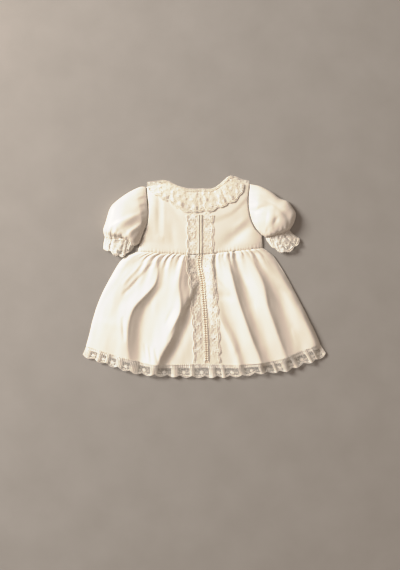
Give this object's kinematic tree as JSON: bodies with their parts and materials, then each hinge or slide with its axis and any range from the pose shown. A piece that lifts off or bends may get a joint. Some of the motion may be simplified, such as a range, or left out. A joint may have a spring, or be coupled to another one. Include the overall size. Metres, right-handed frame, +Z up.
{
  "type": "christening gown",
  "caption": "Short ivory satin baby gown lying flat, with puff sleeves, a gathered skirt, a gathered lace collar, lace hem and cuffs, and a beaded trim down the front.",
  "frame": {"origin": "middle of the gown's outline, on the surface it lies on", "axes": "+Z up from the surface, +Y towards the neck, +X to the viewer's right"},
  "size_m": [0.4612, 0.3832, 0.0304],
  "materials": {
    "satin": "ivory polyester satin, soft sheen",
    "lace": "ivory raschel lace, matt thread on fine net",
    "trim": "cream beading braid, slightly glossy thread"
  },
  "bodies": {
    "root": {"bodice_front": "satin", "bodice_back_left": "satin", "bodice_back_right": "satin", "skirt_front": "satin", "skirt_back": "satin", "sleeve_left": "satin", "sleeve_right": "satin", "cuff_lace_left_top": "lace", "cuff_lace_left_under": "lace", "cuff_lace_right_top": "lace", "cuff_lace_right_under": "lace", "hem_lace_front": "lace", "hem_lace_back": "lace", "collar_front": "lace", "collar_back_left": "lace", "collar_back_right": "lace", "strip_left_bodice": "lace", "strip_right_bodice": "lace", "strip_left_skirt": "lace", "strip_right_skirt": "lace", "trim_bodice": "trim", "trim_skirt": "trim"}
  },
  "joints": []
}
